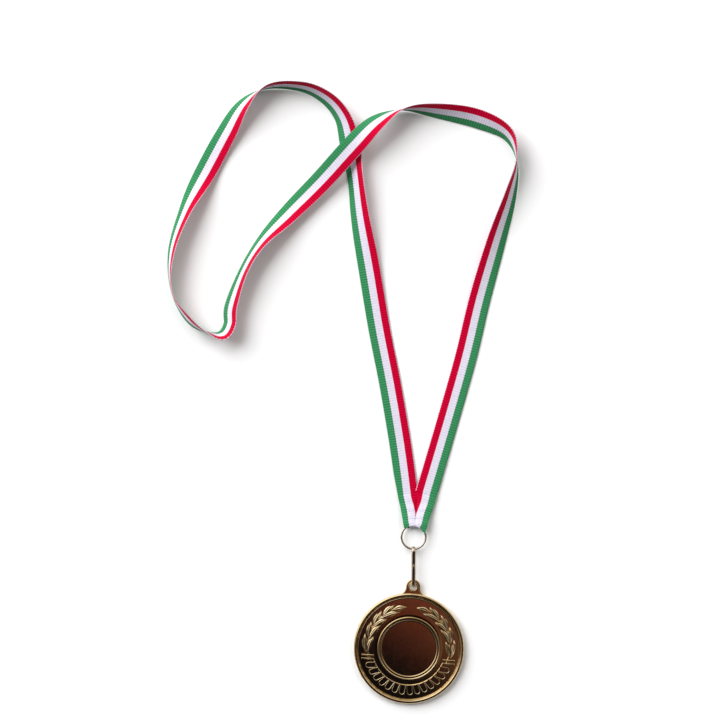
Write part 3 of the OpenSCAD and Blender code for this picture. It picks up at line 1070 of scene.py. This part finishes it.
def fold_column(side, a):
    """One column of the fold, down its front, round the ring and up its back, with its weave."""
    edge, crease = (LEFT_EDGE, CREASE_LEFT) if side < 0 else (RIGHT_EDGE, CREASE_RIGHT)
    stripes = (LEFT_STRIPE, LEFT_CREASE_STRIPE) if side < 0 else (RIGHT_STRIPE, RIGHT_CREASE_STRIPE)
    bottom = spot(edge, crease, 1, a)
    shift = fold_end(bottom[0]) - bottom[1]
    points, across = [], []
    for k in range(FOLD_FRONT_ROWS + 1):
        t = k / FOLD_FRONT_ROWS
        x, u = spot(edge, crease, t, a)
        u += shift * t * t
        points.append((x, u, front_height(u, t, a, side)))
        across.append(lerp(through(t, stripes[0]), through(t, stripes[1]), a))
    along = distances_along(points)
    x_end, u_end, z_end = points[-1]
    for k in range(1, FOLD_TURN_ROWS + 1):
        b = math.pi / 2 + math.pi * k / FOLD_TURN_ROWS
        z = lerp(z_end, BACK_Z[0][1], (1 - math.sin(b)) / 2)
        points.append((x_end, u_end + WRAP_R * math.cos(b), z))
        across.append(across[-1])
        along.append(along[-1] + WRAP_R * math.pi / FOLD_TURN_ROWS)
    for k in range(1, FOLD_BACK_ROWS + 1):
        t = k / FOLD_BACK_ROWS
        front = 1 - t * (1 - (FOLD_TOP - BACK_TOP) / (FOLD_TOP - u_end))
        x = spot(edge, crease, front, a)[0]
        u = lerp(u_end, BACK_TOP, t)
        z = through(u, BACK_Z) + BACK_PINCH * math.exp(-((1 - a) / 0.2) ** 2) * math.sin(math.pi * t)
        along.append(along[-1] + math.dist(points[-1], (x, u, z)))
        points.append((x * (1 - BACK_TAPER * t), u, z))
        across.append(across[FOLD_FRONT_ROWS - int(round(t * FOLD_FRONT_ROWS * 0.8))])
    return points, across, along, x_end > TURN_FROM - 0.7


def fold_halves():
    """The columns of the left and the right half, closer together towards the crease."""
    count = FOLD_HALF_COLUMNS
    shares = [1 - (1 - k / count) ** COLUMN_CROWDING for k in range(count + 1)]
    left = [fold_column(-1, a) for a in shares]
    right = [fold_column(1, a) for a in shares]
    return left, right[::-1]


def is_open(k, column, neighbour):
    """Whether row k is in the turn at the ring, left of where the cloth goes round it."""
    in_turn = FOLD_FRONT_ROWS <= k < FOLD_FRONT_ROWS + FOLD_TURN_ROWS
    return in_turn and not (column[3] and neighbour[3])


def weld(obj, reach):
    """Remove points on no face, and join those that lie within reach, in millimetres."""
    bm = bmesh.new()
    bm.from_mesh(obj.data)
    bmesh.ops.delete(bm, geom=[v for v in bm.verts if not v.link_faces], context="VERTS")
    bmesh.ops.remove_doubles(bm, verts=bm.verts[:], dist=reach * MM)
    bm.to_mesh(obj.data)
    bm.free()


def make_fold():
    verts, across, along, faces = [], [], [], []
    for half in fold_halves():
        for c, (points, shares, distances, _) in enumerate(half):
            start, rows = len(verts), len(points)
            verts += [chain(*p) for p in points]
            across += shares
            along += [(distance + WEAVE_START) * MM for distance in distances]
            if c + 1 < len(half):
                faces += [(a, a + 1, a + rows + 1, a + rows) for a in range(start, start + rows - 1)
                          if not is_open(a - start, half[c], half[c + 1])]
    obj = build("sewn_fold_cloth", verts, faces)
    store_weave(obj, across, along)
    weld(obj, 0.02)
    raise_ribs(obj)
    solid = obj.modifiers.new("thickness", "SOLIDIFY")
    solid.thickness = RIBBON_T * MM
    solid.offset = 0
    apply_modifiers(obj)
    shade(obj, 60)
    dress(obj, FABRIC)
    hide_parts("sewn_fold")
    blend_to_ring(obj)


def raise_ribs(obj):
    """Lift the cloth's ribs along its own normals."""
    mesh = obj.data
    along = [d.value for d in mesh.attributes["along"].data]
    normals = [v.normal.copy() for v in mesh.vertices]
    for v, n, distance in zip(mesh.vertices, normals, along):
        v.co += n * (rib(distance / MM) - 0.5) * FOLD_RIB_HEIGHT * MM


def blend_to_ring(obj):
    """Bake the object's placement into its mesh points."""
    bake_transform(obj)


# ---------------------------------------------------------------- stitches

STITCH_AT = 31.2
STITCH_COUNT = 5
STITCH_PITCH = 1.05
STITCH_LEN = 0.7
STITCH_SIDE = 1.0
STITCH_TOP = 2.86
STITCH_UNDER = 1.12
STITCH_DIP = 0.3
STITCH_BOW = 0.12
THREAD_R = 0.14


def stitch_path(x0):
    """Over the front, down through the fold, back under it and up again."""
    half = STITCH_LEN / 2
    upper, lower = STITCH_TOP - STITCH_DIP, STITCH_UNDER + STITCH_DIP
    path = []
    for k in range(13):
        f = k / 12
        path.append((x0 + lerp(-half, half, f), STITCH_AT + STITCH_BOW * math.sin(math.pi * f),
                     STITCH_TOP - STITCH_DIP * (2 * f - 1) ** 4))
    path += [(x0 + half, STITCH_AT, lerp(upper, lower, k / 6)) for k in range(1, 7)]
    for k in range(1, 13):
        f = k / 12
        path.append((x0 + lerp(half, -half, f), STITCH_AT, STITCH_UNDER + STITCH_DIP * (2 * f - 1) ** 4))
    path += [(x0 - half, STITCH_AT, lerp(lower, upper, k / 6)) for k in range(1, 6)]
    return np.array(path)


def stitch(index):
    """One closed stitch of round thread."""
    pts = stitch_path(STITCH_SIDE + (index - (STITCH_COUNT - 1) / 2) * STITCH_PITCH)
    tangent = np.roll(pts, -1, 0) - np.roll(pts, 1, 0)
    tangent /= np.linalg.norm(tangent, axis=1)[:, None]
    rings = []
    for p, d in zip(pts, tangent):
        other = np.cross(d, (0.0, 1.0, 0.0))
        other /= np.linalg.norm(other)
        side = np.cross(other, d)
        rings.append([chain(*(p + (side * math.cos(b) + other * math.sin(b)) * THREAD_R))
                      for b in turns(10)])
    return tube("stitch", rings, closed=True)


def make_stitches():
    stitches = [stitch(i) for i in range(STITCH_COUNT)]
    bm = bmesh.new()
    for obj in stitches:
        bm.from_mesh(obj.data)
        bpy.data.objects.remove(obj)
    mesh = bpy.data.meshes.new("fold_stitches")
    bm.to_mesh(mesh)
    bm.free()
    obj = bpy.data.objects.new("fold_stitches", mesh)
    bpy.context.scene.collection.objects.link(obj)
    shade(obj, 60)
    dress(obj, THREAD)
    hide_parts("seam_stitching")
    blend_to_ring(obj)


# ---------------------------------------------------------------- floor and light

FLOOR_HALF = 6000
FLOOR_Z = -0.05
FLOOR_STEPS = 8


def make_floor():
    n = FLOOR_STEPS + 1
    ticks = [lerp(-FLOOR_HALF, FLOOR_HALF, k / FLOOR_STEPS) for k in range(n)]
    verts = [(x, y, FLOOR_Z) for y in ticks for x in ticks]
    corners = [j * n + i for j in range(FLOOR_STEPS) for i in range(FLOOR_STEPS)]
    floor = build("floor", verts, [(a, a + 1, a + n + 1, a + n) for a in corners])
    dress(floor, FLOOR)


# where the bright window, the doorway and the person beside the table are, as directions
WINDOW_AT = (-0.60, 0.58, 0.55)
DOORWAY_AT = (0.50, 0.70, 0.50)
PERSON_AT = (0.35, -0.88, 0.32)

WALL_WEST = (0.30, 0.295, 0.29)
WALL_EAST = (0.20, 0.195, 0.19)
DOORWAY = (0.70, 0.66, 0.60)
PERSON = (0.03, 0.026, 0.022)
WINDOW = (1.8, 1.84, 1.92)
CEILING_DARK = (0.0055, 0.006, 0.0085)
CEILING_WARM = (0.168, 0.051, 0.040)
CEILING_EAST = (0.13, 0.105, 0.065)
CEILING_NORTH = (0.010, 0.006, 0.005)
# the middle and the reach of the dark ceiling, in slopes east and north
CEILING_MIDDLE = (0.03, -0.16)
CEILING_REACH = (0.25, 0.8)


def surroundings(n, direction, axes):
    """The pale room round the object: walls, a doorway, a person and a bright window."""
    walls = n.mix(n.spread(axes[0], 0.1, 0.7, 0.0, 1.0), WALL_WEST, WALL_EAST)
    doorway = n.spread(n.towards(direction, DOORWAY_AT), 0.60, 0.95, 0.0, 1.0)
    person = n.spread(n.towards(direction, PERSON_AT), 0.05, 0.7, 0.0, 1.0)
    window = n.spread(n.towards(direction, WINDOW_AT), 0.64, 0.97, 0.0, 1.0)
    room = n.mix(person, n.mix(doorway, walls, DOORWAY), PERSON)
    return n.mix(window, room, WINDOW)


def ceiling_patch(n, east, north):
    """The dark ceiling that the polished face mirrors, warmer towards the north-east."""
    slope = n.math("MULTIPLY_ADD", east, 0.575, north)
    warm = n.spread(slope, -0.168, -0.106, 0.0, 1.0)
    side = n.spread(east, 0.052, 0.08, 0.0, 0.5)
    side = n.math("MULTIPLY", side, n.math("MULTIPLY_ADD", warm, 0.7, 0.3))
    ceiling = n.mix(side, n.mix(warm, CEILING_DARK, CEILING_WARM), CEILING_EAST)
    return n.mix(n.spread(north, -0.1325, -0.126, 0.0, 1.0), ceiling, CEILING_NORTH)


def make_world():
    """A pale soft room with a dark ceiling patch, which the polished face mirrors."""
    world = bpy.data.worlds.new("studio")
    bpy.context.scene.world = world
    n = Nodes(world)
    direction = n.add("ShaderNodeTexCoord").outputs["Generated"]
    axes = n.add("ShaderNodeSeparateXYZ", {0: direction}).outputs
    up = n.math("MAXIMUM", axes[2], 0.02)
    east = n.math("DIVIDE", axes[0], up)
    north = n.math("DIVIDE", axes[1], up)
    off_east = n.math("ABSOLUTE", n.math("SUBTRACT", east, CEILING_MIDDLE[0]))
    off_north = n.math("ABSOLUTE", n.math("SUBTRACT", north, CEILING_MIDDLE[1]))
    squares = n.math("ADD", n.math("POWER", off_east, 2.0), n.math("POWER", off_north, 2.0))
    past_ceiling = n.spread(n.math("SQRT", squares), *CEILING_REACH, 0.0, 1.0)
    near_horizon = n.spread(axes[2], 0.0, 0.1, 1.0, 0.0)
    open_room = n.math("MAXIMUM", past_ceiling, near_horizon)
    colour = n.mix(open_room, ceiling_patch(n, east, north), surroundings(n, direction, axes))
    background = n.tree.nodes["Background"]
    n.put(background, "Color", colour)
    n.put(background, "Strength", 1.0)


def area_light(name, place, target, size, power):
    """A square lamp aimed at a target, in metres, which no metal mirrors."""
    data = bpy.data.lights.new(name, "AREA")
    data.size = size
    data.energy = power
    lamp = bpy.data.objects.new(name, data)
    lamp.location = place
    lamp.visible_glossy = False
    aim = Vector(target) - Vector(place)
    lamp.rotation_euler = aim.to_track_quat("-Z", "Y").to_euler()
    bpy.context.scene.collection.objects.link(lamp)


def make_lights():
    area_light("window_light", (-1.25, 1.0, 1.25), (-0.03, 0.12, 0), 1.5, 40)
    area_light("soft_fill", (0.9, 0.6, 1.3), (0, 0.1, 0), 0.8, 6)


# ---------------------------------------------------------------- the object

GOLD = plated_metal("medal_gold_plate", (0.80, 0.62, 0.36), (0.74, 0.55, 0.30), 0.05)
CLIP_GOLD = plated_metal("clip_gold_plate", (0.70, 0.60, 0.46), (0.60, 0.49, 0.36), 0.10, (1, 1, 0.06))
RING_GOLD = plated_metal("ring_gold_plate", (0.74, 0.66, 0.55), (0.62, 0.54, 0.44), 0.18, (0.4, 0.4, 1))
FABRIC = ribbon_fabric("striped_ribbon")
THREAD = thread_material("sewing_thread")
FLOOR = floor_material("pale_floor")

make_camera()
make_ribbon()
make_fold()
make_stitches()
make_ring()
make_clip()
make_medal()
make_floor()
make_world()
make_lights()
bpy.context.scene.view_settings.view_transform = "Standard"

bpy.context.view_layer.update()
